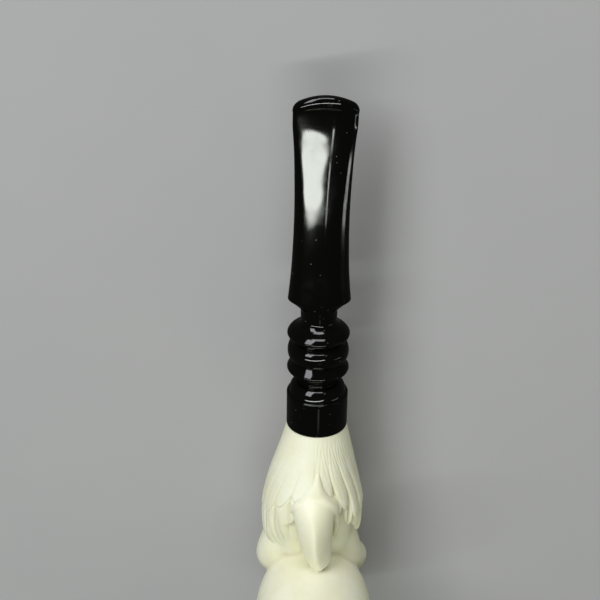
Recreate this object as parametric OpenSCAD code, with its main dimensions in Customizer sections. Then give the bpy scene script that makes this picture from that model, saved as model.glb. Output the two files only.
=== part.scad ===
// Carved block-meerschaum tobacco pipe: an eagle's claw gripping an egg-shaped bowl,
// with a turned black acrylic stem that plugs in with a push fit.
// Millimetres. Origin at the centre of the bowl's rim, +Z up along the tobacco chamber,
// +Y along the straight shank towards the mouthpiece.

/* [Egg bowl] */
// widest diameter of the egg
egg_d = 32; // [30:0.5:36]
// bottom of the egg to the rim
egg_h = 47; // [45:0.5:50]
// rim down to the widest level of the egg
belly_drop = 23; // [20:0.5:25]
// outside diameter of the flat rim
rim_d = 25; // [24:0.5:28]
// tobacco chamber diameter
chamber_d = 19; // [17:0.25:20]
// rim to the bottom of the rounded chamber floor
chamber_depth = 38.5; // [37.5:0.25:40]

/* [Feathered leg] */
// rim down to the axis of the shank
shank_drop = 36; // [35:0.25:37]
// chamber axis to the flat joint face of the shank
shank_reach = 54.5; // [52:0.5:60]
// diameter shared by the shank end and the ferrule of the stem
joint_d = 16; // [15:0.25:18]
// diameter over the feather tips
skirt_d = 28; // [26:0.2:29]
// diameter of the bare ankle behind the egg
ankle_d = 18; // [17:0.25:20]
// how far the top of the ankle dips under the rear talon
ankle_dip = 4; // [2:0.25:4.5]
// feathers in one row round the leg
feather_n = 14; // [10:2:16]
// sideways swell of the leg towards -X
leg_swell = 0.9; // [0:0.1:1.2]
// depth of the grooves between feathers
feather_groove = 1.1; // [0.6:0.1:1.5]
// thickness of a feather row where its tips end
feather_step = 0.8; // [0.5:0.1:1.2]

/* [Toes and talons] */
// diameter of a front toe at its knuckles
toe_d = 8; // [7:0.25:9]
// width of the rear talon at its root
talon_w = 10.8; // [9:0.2:12]
// sideways lean of the rear talon's point
talon_lean = 2.2; // [0:0.1:2.5]

/* [Draught] */
// draught hole from the chamber to the mortise
draught_d = 3.6; // [3:0.1:4]
// airway of the push tenon and stem
airway_d = 3; // [2.5:0.1:3.4]

/* [Push fit] */
// outside diameter of the sleeve set in the shank
sleeve_d = 10; // [9.6:0.1:11]
// length of the sleeve
sleeve_len = 14; // [12:0.5:16]
// bore of the sleeve
plug_d = 7; // [6.6:0.1:7.4]
// length of the plug inside the sleeve
plug_len = 12.5; // [10:0.5:13.5]
// diameter of the stud screwed into the stem
stud_d = 6; // [5:0.1:6.2]
// length of the stud
stud_len = 9; // [7:0.5:11]
// radial play of the push fit and of the stud
fit_play = 0.03; // [0.02:0.01:0.08]
// gap left at the joint face
joint_gap = 0.1; // [0.05:0.05:0.2]

/* [Stem] */
// joint face to the end of the bit
stem_len = 89; // [82:1:105]
// length of the plain ferrule
ferrule_len = 10; // [8:0.5:11]
// diameter of the groove above the ferrule
groove_d = 10.6; // [10:0.2:12]
// top of the ferrule to the rim of the first ring
ring_rise = 7.2; // [6.6:0.1:8]
// spacing of the three rings
ring_pitch = 4.95; // [4.8:0.05:5.4]
// depth of the gaps between the rings
ring_cut = 1.2; // [0.8:0.1:1.5]
// rim of the last ring to the shoulder of the bit
neck_len = 9.6; // [9:0.2:12]
// diameter of the neck under the bit
neck_d = 9.3; // [8.8:0.1:11]
// thickness of the bit at its shoulder
shoulder_t = 10; // [9.6:0.1:11.4]
// narrowest width of the bit
waist_w = 13.5; // [12:0.25:15]
// width over the button
button_w = 15.6; // [14:0.2:18]
// thickness of the bit just before the button
bite_t = 4.2; // [4:0.1:5]
// thickness over the button
button_t = 5.8; // [5.6:0.1:7]
// how far the end of the bit bows out
end_bow = 2; // [1:0.1:3]
// sideways lean of the end of the bit
bit_lean = 0.6; // [0:0.1:1]
// width of the slot in the end of the bit
slot_w = 8; // [6:0.25:9]
// height of the slot
slot_h = 1.8; // [1.4:0.1:2.2]

/* [Hidden] */
egg_r = egg_d / 2;
egg_low = egg_h - belly_drop;
egg_up = belly_drop / sqrt(1 - pow(rim_d / egg_d, 2));
leg_len = shank_reach - egg_r;
shank_z = -shank_drop;

function unit(v) = v / norm(v);
function mean(p) = [for (k = [0 : 2]) (min([for (q = p) q[k]]) + max([for (q = p) q[k]])) / 2];
function ease(t) = let (u = min(1, max(0, t))) u * u * (3 - 2 * u);
function spow(c, n) = sign(c) * pow(abs(c), n);

// curve through control rows [x, y, z, half width, half height]
function bend(a, b, c, d, t) =
    0.5 * (2 * b + (c - a) * t + (2 * a - 5 * b + 4 * c - d) * t * t + (3 * b - a - 3 * c + d) * t * t * t);
function curve(p, k) =
    let (e = len(p) - 1)
    [for (i = [0 : e - 1], j = [0 : k - 1]) bend(p[max(i - 1, 0)], p[i], p[i + 1], p[min(i + 2, e)], j / k), p[e]];

// point on the lower egg at azimuth a from the shank, level s from the belly, lifted by d
function on_egg(a, s, d) =
    let (r = egg_r * sqrt(1 - s * s), n = unit([r / egg_r / egg_r, s / egg_low]))
    [(r + d * n[0]) * sin(a), (r + d * n[0]) * cos(a), -belly_drop + s * egg_low + d * n[1]];
// point of the mid-plane under the egg at angle a from the shank side
function under_egg(a, d) =
    let (n = unit([cos(a) / egg_r, sin(a) / egg_low]))
    [0, egg_r * cos(a) + d * n[0], -belly_drop + egg_low * sin(a) + d * n[1]];
// point beside the shank axis, t of the leg's length from the joint face
function on_leg(x, t, h) = [x, shank_reach - t * leg_len, shank_z + h];

// closed skin over rings of points
module skin(rings) {
    n = len(rings[0]);
    m = len(rings);
    points = concat([for (r = rings) each r], [mean(rings[0]), mean(rings[m - 1])]);
    sides = [for (j = [0 : m - 2], i = [0 : n - 1])
        let (a = j * n + i, b = j * n + (i + 1) % n)
        each [[a, b, b + n], [a, b + n, a + n]]];
    ends = [for (i = [0 : n - 1])
        let (b = (i + 1) % n, c = (m - 1) * n)
        each [[b, i, m * n], [c + i, c + b, m * n + 1]]];
    polyhedron(points, concat(sides, ends));
}

// rounded limb along control rows, its upper side turned to the direction away from hub
module limb(rows, hub, sides, steps, keel) {
    p = curve(rows, steps);
    e = len(p) - 1;
    c = [for (q = p) [q[0], q[1], q[2]]];
    skin([for (i = [0 : e])
        let (t = unit(c[min(i + 1, e)] - c[max(i - 1, 0)]),
             s = unit(cross(t, c[i] - hub)),
             u = cross(s, t))
        [for (j = [0 : sides - 1])
            let (q = 360 * j / sides, k = 1 + keel * pow(max(0, sin(q)), 5))
            c[i] + s * p[i][3] * cos(q) + u * p[i][4] * k * sin(q)]]);
}

// egg-shaped bowl outside, flat rim with rounded edge
module egg() {
    edge = 1.2;
    low = [for (i = [0 : 14]) let (a = -90 + 90 * i / 14)
        [egg_r * cos(a), -belly_drop + egg_low * sin(a)]];
    high = [for (i = [1 : 12]) let (z = -belly_drop + (belly_drop - edge) * i / 12)
        [egg_r * sqrt(1 - pow((z + belly_drop) / egg_up, 2)), z]];
    r = high[11][0];
    lip = [[r - 0.15, -edge * 0.55], [r - 0.5, -edge * 0.2], [r - 1, 0], [0, 0]];
    rotate_extrude($fn = 96) polygon(concat(low, high, lip));
}

// feathers that part over the rear toe: one row ends short, the next shows beyond it
function row_end(a, near, far) = near + (far - near) * ease(abs(a) / 62);
function envelope(t) =
    joint_d / 2 + (skirt_d - joint_d) / 2 * sin(90 * min(1, pow(t / 0.8, 1.15)));
// how far from the middle of its feather a direction is, 0 to 1
function off_quill(a, shift) = abs(((a / 360 * feather_n + shift) % 1 + 1) % 1 - 0.5) * 2;

module leg() {
    per = 6;
    cols = feather_n * per;
    rows1 = 8;
    rows2 = 6;
    fan = 16;
    function spot(a, t, r) =
        let (b = a + fan * ease(t / 0.8) * sin(a))
        on_leg(r * sin(b) - leg_swell * ease(t / 0.7), t, r * cos(b));
    function upper_end(a) = row_end(a, 0.3, 0.68) - 0.075 * pow(off_quill(a, 0), 1.5);
    function lower_end(a) = row_end(a, 0.42, 0.86) - 0.075 * pow(off_quill(a, 0.5), 1.5);
    function upper(a, t) = envelope(t) - feather_groove * ease(t / 0.3) * pow(off_quill(a, 0), 3);
    function lower(a, t) = envelope(t) - feather_step * 0.8 - feather_groove * pow(off_quill(a, 0.5), 3);
    function ankle(a, t) = ankle_d / 2 * (1 + 0.36 * pow(sin(a), 2)) - max(0, t - 0.5)
        - ankle_dip * ease((t - 0.5) / 0.45) * pow(max(0, cos(a)), 2);
    angles = [for (i = [0 : cols - 1]) let (a = 360 * (i + 0.5) / cols) a > 180 ? a - 360 : a];
    skin(concat(
        [for (j = [0 : rows1]) [for (a = angles)
            let (t = upper_end(a) * j / rows1) spot(a, t, upper(a, t))]],
        [for (j = [0 : rows2]) [for (a = angles)
            let (b = upper_end(a), t = b + 0.008 + (lower_end(a) - b - 0.008) * j / rows2)
            spot(a, t, min(lower(a, t), upper(a, b) - 0.3))]],
        [for (j = [0 : 3]) [for (a = angles)
            let (c = lower_end(a), b = c + 0.015, t = b + (1.16 - b) * j / 3)
            spot(a, t, min(ankle(a, t), lower(a, c) - 0.3))]]));
}

// front toe on one side: m is +1 or -1
module side_toe(m) {
    r = toe_d / 2;
    limb([
        concat(on_leg(m * r * 1.6 - leg_swell * 0.66, 0.74, 0), [r * 1.05, r * 1.1]),
        concat(on_leg(m * r * 2 - leg_swell * 0.66, 0.92, 0.4), [r * 1.14, r * 1.2]),
        concat(on_egg(m * 44 - leg_swell * 2.8, -0.54, r * 0.1), [r * 1.38, r * 1.4]),
        concat(on_egg(m * 62, -0.7, r * 0.45), [r * 0.9, r * 0.92]),
        concat(on_egg(m * 88, -0.83, r * 0.55), [r, r]),
        concat(on_egg(m * 110, -0.82, r * 0.5), [r * 0.8, r * 0.84]),
        concat(on_egg(m * 128, -0.74, r * 0.5), [r * 0.92, r * 0.94]),
        concat(on_egg(m * 134, -0.68, r * 0.45), [r * 0.7, r * 0.7])],
        [0, 0, -belly_drop], 12, 3, 0);
    limb([
        concat(on_egg(m * 122, -0.77, r * 0.45), [r * 0.5, r * 0.5]),
        concat(on_egg(m * 133, -0.69, r * 0.52), [r * 0.68, r * 0.7]),
        concat(on_egg(m * 140, -0.56, r * 0.48), [r * 0.58, r * 0.66]),
        concat(on_egg(m * 145, -0.4, r * 0.32), [r * 0.38, r * 0.46]),
        concat(on_egg(m * 147, -0.24, r * 0.06), [r * 0.08, r * 0.1])],
        [0, 0, -belly_drop], 12, 3, 0.15);
}

// middle front toe, straight under the egg
module middle_toe() {
    r = toe_d / 2;
    limb([
        concat(on_leg(0, 0.72, -r), [r, r]),
        concat(under_egg(-44, r * 0.75), [r * 1.1, r * 1.1]),
        concat(under_egg(-62, r * 0.7), [r * 1.15, r * 1.12]),
        concat(under_egg(-80, r * 0.5), [r * 0.88, r * 0.9]),
        concat(under_egg(-98, r * 0.6), [r * 1.05, r * 1.02]),
        concat(under_egg(-114, r * 0.5), [r * 0.84, r * 0.84]),
        concat(under_egg(-130, r * 0.55), [r * 0.96, r * 0.94]),
        concat(under_egg(-136, r * 0.45), [r * 0.72, r * 0.7])],
        [0, 0, -belly_drop], 12, 3, 0);
    limb([
        concat(under_egg(-124, r * 0.45), [r * 0.5, r * 0.5]),
        concat(under_egg(-135, r * 0.55), [r * 0.7, r * 0.7]),
        concat(under_egg(-147, r * 0.52), [r * 0.6, r * 0.68]),
        concat(under_egg(-158, r * 0.34), [r * 0.4, r * 0.48]),
        concat(under_egg(-168, r * 0.06), [r * 0.08, r * 0.1])],
        [0, 0, -belly_drop], 12, 3, 0.15);
}

// rear toe on top of the leg: a short cuff, the heel under it and the big keeled talon that meets the egg
module rear_toe() {
    w = talon_w / 2;
    hub = on_leg(0, 0.6, -30);
    limb([
        concat(on_leg(0.4, 0.2, 7.6), [w * 0.05, w * 0.18]),
        concat(on_leg(0.4, 0.26, 8.6), [w * 0.17, w * 0.39]),
        concat(on_leg(0.3, 0.33, 9.1), [w * 0.32, w * 0.51]),
        concat(on_leg(0.1, 0.4, 8.9), [w * 0.6, w * 0.65]),
        concat(on_leg(0, 0.47, 8.5), [w, w * 0.82]),
        concat(on_leg(0, 0.53, 8.2), [w * 1.18, w * 0.89]),
        concat(on_leg(0, 0.62, 7.6), [w * 1.2, w * 0.75])],
        hub, 16, 3, 0);
    limb([
        concat(on_leg(0, 0.5, 5), [w * 0.74, w * 0.78]),
        concat(on_leg(talon_lean * 0.2, 0.7, 6.8), [w * 0.67, w * 0.85]),
        concat(on_leg(talon_lean * 0.5, 0.86, 7.4), [w * 0.52, w * 0.89]),
        concat(on_leg(talon_lean * 0.8, 1.04, 7.4), [w * 0.41, w * 0.81])],
        hub, 12, 3, 0);
    limb([
        concat(on_leg(0, 0.42, 9.2), [w * 0.82, w * 0.58]),
        concat(on_leg(0, 0.46, 10.2), [w * 0.99, w * 0.82]),
        concat(on_leg(0, 0.54, 11.8), [w * 1.02, w * 0.9]),
        concat(on_leg(talon_lean * 0.1, 0.63, 13), [w * 0.95, w * 0.92]),
        concat(on_leg(talon_lean * 0.25, 0.72, 13.5), [w * 0.85, w * 0.93]),
        concat(on_leg(talon_lean * 0.5, 0.82, 13.6), [w * 0.71, w * 0.88]),
        concat(on_leg(talon_lean * 0.78, 0.9, 13.6), [w * 0.57, w * 0.66]),
        concat(on_leg(talon_lean * 0.94, 0.955, 13.4), [w * 0.42, w * 0.42]),
        concat(on_leg(talon_lean, 0.985, 13.1), [w * 0.2, w * 0.18])],
        hub, 16, 3, 0.1);
}

// one carved block: egg, leg and toes, drilled for chamber, draught and mortise
module bowl() {
    floor_r = chamber_d / 2;
    color("ivory")
    difference() {
        union() {
            egg();
            leg();
            side_toe(1);
            side_toe(-1);
            middle_toe();
            rear_toe();
        }
        rotate_extrude($fn = 96)
            polygon(concat(
                [[0, 1], [floor_r, 1]],
                [for (i = [0 : 10]) let (a = 9 * i)
                    [floor_r * cos(a), -chamber_depth + floor_r * (1 - sin(a))]]));
        translate([0, 2, shank_z]) rotate([-90, 0, 0]) cylinder(h = shank_reach, d = draught_d, $fn = 48);
        translate([0, shank_reach - sleeve_len, shank_z]) rotate([-90, 0, 0])
            cylinder(h = sleeve_len + 1, d = sleeve_d, $fn = 64);
    }
}

// plastic sleeve set in the mortise, flush with the joint face
module mortise_sleeve() {
    color("white")
    translate([0, shank_reach - sleeve_len, shank_z]) rotate([-90, 0, 0])
    difference() {
        cylinder(h = sleeve_len, d = sleeve_d, $fn = 64);
        translate([0, 0, -1]) cylinder(h = sleeve_len + 2, d = plug_d, $fn = 64);
    }
}

// plastic push tenon: plug for the sleeve, stud for the stem, airway through both
module push_tenon() {
    y0 = shank_reach - plug_len;
    color("white")
    translate([0, y0, shank_z]) rotate([-90, 0, 0])
    difference() {
        rotate_extrude($fn = 64)
            polygon([
                [0, 0], [plug_d / 2 - fit_play - 0.5, 0], [plug_d / 2 - fit_play, 0.8],
                [plug_d / 2 - fit_play, plug_len], [stud_d / 2, plug_len],
                [stud_d / 2, plug_len + stud_len - 0.5], [stud_d / 2 - 0.5, plug_len + stud_len],
                [0, plug_len + stud_len]]);
        translate([0, 0, -1]) cylinder(h = plug_len + stud_len + 2, d = airway_d, $fn = 48);
    }
}

// turned part of the stem: ferrule, groove, two sharp rings round a full bead, neck
function ring_y(i) = ferrule_len + ring_rise + i * ring_pitch;
function shoulder_y() = ring_y(2) + neck_len;
// sideways lean of the bit, growing from its shoulder to its end
function lean_at(y) = bit_lean * pow(max(0, (y - shoulder_y()) / (stem_len - shoulder_y())), 1.5);

module turning() {
    r = joint_d / 2;
    g = groove_d / 2;
    c = r - ring_cut;
    n = neck_d / 2;
    f = ferrule_len;
    p = ring_pitch;
    y1 = ring_y(0);
    y2 = ring_y(1);
    y3 = ring_y(2);
    rim = [[-0.2, -0.6], [-0.03, -0.25], [0, 0], [-0.03, 0.25], [-0.3, 0.8]];
    function at(y) = [for (q = rim) [r + q[0], y + q[1]]];
    rotate_extrude($fn = 96)
        polygon(concat(
            [[0, joint_gap], [r - 0.06, joint_gap], [r, joint_gap + 0.3], [r, f - 0.25], [r - 0.2, f]],
            [for (i = [1 : 5]) let (a = 18 * i) [g + (r - 0.2 - g) * cos(a), f + 3.2 * sin(a)]],
            [[g, f + 3.9], [g + 0.5, y1 - 1.7], [r - 1, y1 - 1]],
            at(y1), [[c + 0.35, y1 + 0.33 * p], [c, y1 + 0.45 * p]],
            [for (i = [-4 : 4]) let (a = 20 * i)
                [c + (ring_cut - 0.12) * cos(a), y2 + 0.47 * p * sin(a)]],
            [[c, y3 - 0.45 * p], [c + 0.4, y3 - 0.28 * p]], at(y3),
            [[r - 0.95, y3 + 1.5], [n + 1.2, y3 + 2.2], [n + 0.4, y3 + 2.9], [n, y3 + 3.9],
             [n, y3 + neck_len - 0.8], [0, y3 + neck_len - 0.8]]));
}

// flattened bit: sharp shoulder, fishtail blade, crescent button with a bowed end
module bit() {
    sides = 40;
    y = shoulder_y();
    e = stem_len;
    d = e - y;
    r = joint_d / 2 - 0.06;
    n = neck_d / 2;
    w = waist_w / 2;
    b = button_w / 2;
    t = bite_t / 2;
    s = shoulder_t / 2;
    u = button_t / 2;
    function thick(f) = s + (t - s) * f;
    // rows: position, half width, half thickness, squareness, bow
    rows = [
        [y - 2.9, n - 0.25, n - 0.25, 2, 0],
        [y - 2.2, n + 0.3, n, 2, 0],
        [y - 0.9, r - 1.3, s - 0.1, 2.05, 0],
        [y - 0.15, r - 0.2, s, 2.1, 0],
        [y + 0.15, r, s, 2.1, 0],
        [y + d * 0.04, r * 0.972, thick(0.03), 2.1, 0],
        [y + d * 0.145, w + (r - w) * 0.42, thick(0.13), 2.1, 0],
        [y + d * 0.27, w + (r - w) * 0.15, thick(0.27), 2.1, 0],
        [y + d * 0.37, w * 1.006, thick(0.4), 2.1, 0],
        [y + d * 0.47, w, thick(0.52), 2.12, 0],
        [y + d * 0.59, w + (b - w) * 0.11, thick(0.67), 2.14, 0],
        [y + d * 0.71, w + (b - w) * 0.32, thick(0.81), 2.16, 0],
        [y + d * 0.79, w + (b - w) * 0.56, thick(0.9), 2.18, end_bow * 0.08],
        [y + d * 0.865, w + (b - w) * 0.86, thick(0.98), 2.2, end_bow * 0.25],
        [e - 3.2, b - 0.08, t, 2.2, end_bow * 0.48],
        [e - 2.7, b, t + 0.15, 2.2, end_bow * 0.56],
        [e - 2.2, b, u - 0.2, 2.1, end_bow * 0.66],
        [e - 1.5, b - 0.05, u, 2.05, end_bow * 0.8],
        [e - 0.8, b - 0.25, u - 0.1, 2.05, end_bow * 0.92],
        [e - 0.25, b - 0.65, u - 0.5, 2.05, end_bow],
        [e, b - 1.3, u - 1.1, 2.05, end_bow]];
    skin([for (q = rows) [for (j = [0 : sides - 1])
        let (a = 360 * j / sides, x = q[1] * spow(cos(a), 2 / q[3]), z = q[2] * spow(sin(a), 2 / q[3]))
        [x + lean_at(q[0]), q[0] - q[4] * pow(x / b, 2), z]]]);
}

// one-piece acrylic stem, bored for the stud and airway and slotted at the end
module stem() {
    socket = stud_len + 0.5;
    slot_y = stem_len - 10;
    color([0.06, 0.06, 0.06])
    translate([0, shank_reach, shank_z])
    difference() {
        union() {
            rotate([-90, 0, 0]) turning();
            bit();
        }
        rotate([-90, 0, 0]) translate([0, 0, -1]) cylinder(h = socket + 1, r = stud_d / 2 + fit_play, $fn = 64);
        rotate([-90, 0, 0]) cylinder(h = slot_y + 1, d = airway_d, $fn = 48);
        hull() {
            translate([lean_at(slot_y), slot_y, 0]) rotate([-90, 0, 0]) cylinder(h = 0.5, d = slot_h, $fn = 24);
            for (m = [-1, 1])
                translate([m * (slot_w - slot_h) / 2 + bit_lean, stem_len, 0]) rotate([-90, 0, 0])
                    cylinder(h = 1, d = slot_h, $fn = 24);
        }
    }
}

bowl();
mortise_sleeve();
push_tenon();
stem();
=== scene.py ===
import math
import random

import bmesh
import bpy
import numpy as np
from mathutils import Matrix, Vector


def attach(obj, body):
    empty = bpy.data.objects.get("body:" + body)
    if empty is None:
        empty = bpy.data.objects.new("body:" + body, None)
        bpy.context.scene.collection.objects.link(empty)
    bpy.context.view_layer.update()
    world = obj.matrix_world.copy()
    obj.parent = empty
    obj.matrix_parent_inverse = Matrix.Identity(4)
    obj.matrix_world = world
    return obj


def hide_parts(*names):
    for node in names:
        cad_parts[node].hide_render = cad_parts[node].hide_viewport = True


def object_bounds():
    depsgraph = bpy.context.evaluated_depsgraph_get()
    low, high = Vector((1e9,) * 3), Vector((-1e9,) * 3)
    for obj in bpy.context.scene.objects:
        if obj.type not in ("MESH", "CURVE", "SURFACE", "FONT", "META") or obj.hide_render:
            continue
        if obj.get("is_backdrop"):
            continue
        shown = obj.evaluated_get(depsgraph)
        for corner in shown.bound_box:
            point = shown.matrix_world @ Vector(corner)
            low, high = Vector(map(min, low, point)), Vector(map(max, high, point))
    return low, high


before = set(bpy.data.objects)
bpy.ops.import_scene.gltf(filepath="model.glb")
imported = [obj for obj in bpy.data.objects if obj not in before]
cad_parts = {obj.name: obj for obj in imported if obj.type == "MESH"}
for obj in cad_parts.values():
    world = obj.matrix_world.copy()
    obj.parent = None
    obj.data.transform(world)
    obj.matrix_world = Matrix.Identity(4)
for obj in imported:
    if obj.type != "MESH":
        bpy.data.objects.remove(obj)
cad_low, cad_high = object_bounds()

# Foot on egg: the egg-shaped bowl, the three toes that grip it from below and the rear talon.
# Real piece: the front half of one block of meerschaum, carved with knives and files, then drilled
# for the tobacco chamber and draught hole, boiled in beeswax and polished.
mm = 0.001
egg_r = 16.0
belly_drop = 23.0
egg_low = 24.0
egg_up = 36.8
edge = 1.2
shank_z = -36.0
shank_reach = 54.5
leg_len = shank_reach - egg_r
draught_r = 1.8
chamber_r = 9.5
chamber_depth = 38.5


def ease(t):
    u = np.clip(t, 0.0, 1.0)
    return u * u * (3.0 - 2.0 * u)


def on_egg(azimuth, level, lift):
    """Point on the lower egg: azimuth from the shank, level from the belly, lifted off the surface."""
    r = egg_r * math.sqrt(1 - level * level)
    n = np.array([r / egg_r ** 2, level / egg_low])
    n /= np.linalg.norm(n)
    a = math.radians(azimuth)
    out = r + lift * n[0]
    return [out * math.sin(a), out * math.cos(a), -belly_drop + level * egg_low + lift * n[1]]


def under_egg(angle, lift):
    """Point of the mid-plane under the egg, at an angle from the shank side."""
    a = math.radians(angle)
    n = np.array([math.cos(a) / egg_r, math.sin(a) / egg_low])
    n /= np.linalg.norm(n)
    return [0.0, egg_r * math.cos(a) + lift * n[0], -belly_drop + egg_low * math.sin(a) + lift * n[1]]


def on_leg(x, t, h):
    """Point beside the shank axis, t of the leg's length from the joint face."""
    return [x, shank_reach - t * leg_len, shank_z + h]


def through(rows, steps):
    """Smooth curve through control rows."""
    p = np.array(rows, float)
    last = len(p) - 1
    out = []
    for i in range(last):
        a, b, c, d = p[max(i - 1, 0)], p[i], p[i + 1], p[min(i + 2, last)]
        for k in range(steps):
            t = k / steps
            out.append(0.5 * (2 * b + (c - a) * t + (2 * a - 5 * b + 4 * c - d) * t * t
                              + (3 * b - a - 3 * c + d) * t ** 3))
    out.append(p[last])
    return np.array(out)


def skin(rings, ring_shaped=False):
    """Closed skin over rings of points: capped at both ends, or joined end to end."""
    rings = np.asarray(rings, float)
    m, n, _ = rings.shape
    i = np.arange(n)
    j = (i + 1) % n
    faces = []
    for k in range(m if ring_shaped else m - 1):
        a, b = k * n, (k + 1) % m * n
        faces += np.stack([a + i, a + j, b + j, b + i], 1).tolist()
    verts = rings.reshape(-1, 3)
    if not ring_shaped:
        verts = np.vstack([verts, rings[0].mean(0), rings[-1].mean(0)])
        faces += np.stack([j, i, np.full(n, m * n)], 1).tolist()
        faces += np.stack([(m - 1) * n + i, (m - 1) * n + j, np.full(n, m * n + 1)], 1).tolist()
    return verts, faces


def limb_frames(rows, hub, steps):
    """Centres, sizes and the along, across and upper directions of a limb bent round hub."""
    p = through(rows, steps)
    c = p[:, :3]
    along = np.gradient(c, axis=0)
    along /= np.linalg.norm(along, axis=1)[:, None]
    across = np.cross(along, c - np.array(hub))
    across /= np.linalg.norm(across, axis=1)[:, None]
    return c, p[:, 3:5], along, across, np.cross(across, along)


def limb(rows, hub, sides, steps, keel=0.0, flat=1.0):
    """Limb along control rows of a point, half width and half height, round at its root.

    keel raises its ridge, and flat above 1 flattens the slopes beside the ridge.
    """
    c, size, along, across, upper = limb_frames(rows, hub, steps)
    flat = 1 + (flat - 1) * ease(np.linspace(-0.3, 2.4, len(c)))[:, None]
    q = np.arange(sides) / sides * 2 * math.pi
    k = 1 + keel * np.maximum(0, np.sin(q)) ** 5
    wide = np.sign(np.cos(q)) * np.abs(np.cos(q)) ** flat
    high = np.sign(np.sin(q)) * np.abs(np.sin(q)) ** flat * k
    return skin(c[:, None] + across[:, None] * (size[:, :1] * wide)[..., None]
                + upper[:, None] * (size[:, 1:] * high)[..., None])


def lathe(profile, sides):
    """Turned shape about +Z from a profile of [radius, height]."""
    q = np.arange(sides) / sides * 2 * math.pi
    return skin([[[r * math.cos(a), r * math.sin(a), z] for a in q] for r, z in profile])


def mesh_of(name, *shells):
    """Mesh in metres of one or more closed shells given in millimetres, faces outwards."""
    bm = bmesh.new()
    for verts, faces in shells:
        v = [bm.verts.new(Vector(p) * mm) for p in verts]
        for f in faces:
            bm.faces.new([v[i] for i in f])
    bmesh.ops.remove_doubles(bm, verts=bm.verts, dist=1e-8)
    bmesh.ops.recalc_face_normals(bm, faces=bm.faces)
    mesh = bpy.data.meshes.new(name)
    bm.to_mesh(mesh)
    bm.free()
    return mesh


def stand(name, mesh):
    piece = bpy.data.objects.new(name, mesh)
    bpy.context.scene.collection.objects.link(piece)
    return piece


def settled(piece):
    """Turns the piece with its modifiers into a plain mesh."""
    view = bpy.context.evaluated_depsgraph_get()
    plain = bpy.data.meshes.new_from_object(piece.evaluated_get(view))
    plain.name = piece.name
    old = piece.data
    piece.modifiers.clear()
    piece.data = plain
    bpy.data.meshes.remove(old)
    return piece


class Wire:
    """A socket in a node tree: arithmetic on it adds Math nodes, node() adds any other node."""

    def __init__(self, tree, socket):
        self.tree = tree
        self.socket = socket

    def node(self, kind, settings=None, sockets=None, out=0):
        made = self.tree.nodes.new(kind)
        for key, value in (settings or {}).items():
            setattr(made, key, value)
        for key, value in (sockets or {}).items():
            if isinstance(value, Wire):
                self.tree.links.new(value.socket, made.inputs[key])
            else:
                made.inputs[key].default_value = value
        return Wire(self.tree, made.outputs[out])

    def math(self, operation, *others):
        return self.node("ShaderNodeMath", {"operation": operation}, dict(enumerate((self,) + others)))

    def math_after(self, first, operation):
        return self.node("ShaderNodeMath", {"operation": operation}, {0: first, 1: self})

    def __add__(self, other): return self.math("ADD", other)
    def __sub__(self, other): return self.math("SUBTRACT", other)
    def __mul__(self, other): return self.math("MULTIPLY", other)
    def __truediv__(self, other): return self.math("DIVIDE", other)
    def __pow__(self, other): return self.math("POWER", other)
    def __radd__(self, other): return self.math("ADD", other)
    def __rmul__(self, other): return self.math("MULTIPLY", other)
    def __rsub__(self, other): return self.math_after(other, "SUBTRACT")
    def __rtruediv__(self, other): return self.math_after(other, "DIVIDE")

    def between(self, low, high):
        """0 below low, 1 above high, smooth in between."""
        return self.node("ShaderNodeMapRange", {"interpolation_type": "SMOOTHSTEP"},
                         {"Value": self, "From Min": low, "From Max": high})

    def blend(self, first, second):
        """Mix of two colours, this wire being the share of the second."""
        return self.node("ShaderNodeMix", {"data_type": "RGBA"}, {0: self, 6: first, 7: second}, 2)

    def noise(self, scale, detail, roughness=0.5):
        """Cloudy noise over the place that this wire gives."""
        return self.node("ShaderNodeTexNoise", {}, {"Vector": self, "Scale": scale, "Detail": detail,
                                                    "Roughness": roughness})

    def bump(self, strength, distance):
        """Surface direction from this wire as a height."""
        return self.node("ShaderNodeBump", {}, {"Strength": strength, "Distance": distance,
                                                "Height": self})

    def split(self):
        """The three parts of a vector."""
        return [self.node("ShaderNodeSeparateXYZ", {}, {0: self}, k) for k in range(3)]


def finish(name):
    """A new material with its shader node and the wire of its Object coordinates."""
    material = bpy.data.materials.new(name)
    material.use_nodes = True
    tree = material.node_tree
    shader = tree.nodes["Principled BSDF"]
    place = Wire(tree, tree.nodes.new("ShaderNodeTexCoord").outputs["Object"])
    return material, shader, place


def wire_up(shader, **links):
    for key, value in links.items():
        shader.id_data.links.new(value.socket, shader.inputs[key.replace("_", " ")])


# Waxed meerschaum: ivory with a faint cloud, and darker cream in the cuts: painted shade in the creases,
# together with the wax that stays there.
meerschaum, shader, place = finish("waxed_meerschaum")
cloud = place.noise(120.0, 3.0, 0.55)
mottle = place.noise(700.0, 4.0, 0.6)
grain = place.noise(5200.0, 2.0)
hollow = place.node("ShaderNodeAttribute", {"attribute_name": "hollow"}, out=2)
body = cloud.between(0.35, 0.68).blend((0.83, 0.825, 0.605, 1), (0.87, 0.875, 0.69, 1))
body = (mottle.between(0.52, 0.78) * 0.3).blend(body, (0.79, 0.765, 0.56, 1))
# Painted shade: the colour darkens towards a deeper cream by how deep the point lies in a cut, partly the
# wax left in the cuts.
body = (hollow * 0.5).blend(body, (0.68, 0.63, 0.42, 1))
wire_up(shader, Base_Color=body,
        Roughness=0.42 + 0.16 * mottle - 0.1 * cloud + 0.12 * hollow,
        Normal=(grain + 2.0 * mottle).bump(0.12, 0.00004))
shader.inputs["IOR"].default_value = 1.5
shader.inputs["Subsurface Weight"].default_value = 0.22
shader.inputs["Subsurface Radius"].default_value = (1.0, 0.85, 0.5)
shader.inputs["Subsurface Scale"].default_value = 0.0016

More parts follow.
